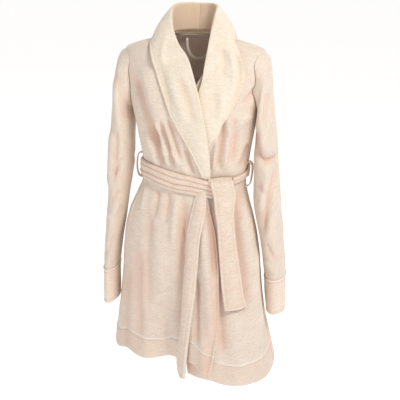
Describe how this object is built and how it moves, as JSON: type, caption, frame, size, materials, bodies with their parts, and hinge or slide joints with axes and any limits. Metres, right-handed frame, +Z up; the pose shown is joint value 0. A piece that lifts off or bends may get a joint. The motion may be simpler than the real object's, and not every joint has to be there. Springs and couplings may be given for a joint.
{
  "type": "bathrobe",
  "caption": "Short wrap bathrobe in brushed knit with a shawl collar, long cuffed sleeves, side belt loops and a tied fabric belt.",
  "frame": {"origin": "middle of the neck opening, level with the points where collar and shoulder seams meet", "axes": "+Z up along the wearer's body, the wearer faces -Y, +X is the wearer's left"},
  "size_m": [0.535, 0.3849, 1.042],
  "materials": {
    "body_knit": "brushed knit, pale blush",
    "collar_knit": "brushed knit, warm cream",
    "belt_knit": "brushed knit, pale blush",
    "cuff_knit": "smooth knit, blush pink",
    "inner_cloth": "knit, wrong side",
    "tape": "woven tape, matt"
  },
  "bodies": {
    "robe": {"back_panel": "body_knit", "right_front_panel": "body_knit", "left_front_panel": "body_knit", "right_front_facing": "inner_cloth", "left_front_facing": "inner_cloth", "right_pocket_bag": "inner_cloth", "left_pocket_bag": "inner_cloth", "right_collar": "collar_knit", "left_collar": "collar_knit", "belt_right_run": "belt_knit", "belt_back_run": "belt_knit", "belt_left_run": "belt_knit", "belt_knot": "belt_knit", "right_belt_loop": "belt_knit", "left_belt_loop": "belt_knit", "back_neck_tape": "tape", "care_label": "tape"},
    "right_arm": {"right_sleeve": "body_knit", "right_cuff": "cuff_knit"},
    "left_arm": {"left_sleeve": "body_knit", "left_cuff": "cuff_knit"},
    "front_tail": {"belt_front_tail": "belt_knit"},
    "under_tail": {"belt_under_tail": "belt_knit"},
    "hang_loop": {"hanger_loop": "tape"}
  },
  "joints": [
    {"name": "right_arm_raise", "type": "hinge", "parent": "robe", "child": "right_arm", "pos_m": [-0.19, 0, -0.033], "axis": [0, 1, 0], "range_deg": [0, 65]},
    {"name": "left_arm_raise", "type": "hinge", "parent": "robe", "child": "left_arm", "pos_m": [0.19, 0, -0.033], "axis": [0, -1, 0], "range_deg": [0, 65]},
    {"name": "front_tail_swing", "type": "hinge", "parent": "robe", "child": "front_tail", "pos_m": [0.068, -0.128, -0.3785], "axis": [-0.885, -0.4656, 0], "range_deg": [0, 70]},
    {"name": "under_tail_swing", "type": "hinge", "parent": "robe", "child": "under_tail", "pos_m": [0.034, -0.118, -0.428], "axis": [-1, 0, 0], "range_deg": [0, 70]},
    {"name": "hanger_loop_flip", "type": "hinge", "parent": "robe", "child": "hang_loop", "pos_m": [0, 0.047, -0.014], "axis": [-1, 0, 0], "range_deg": [0, 150]}
  ]
}
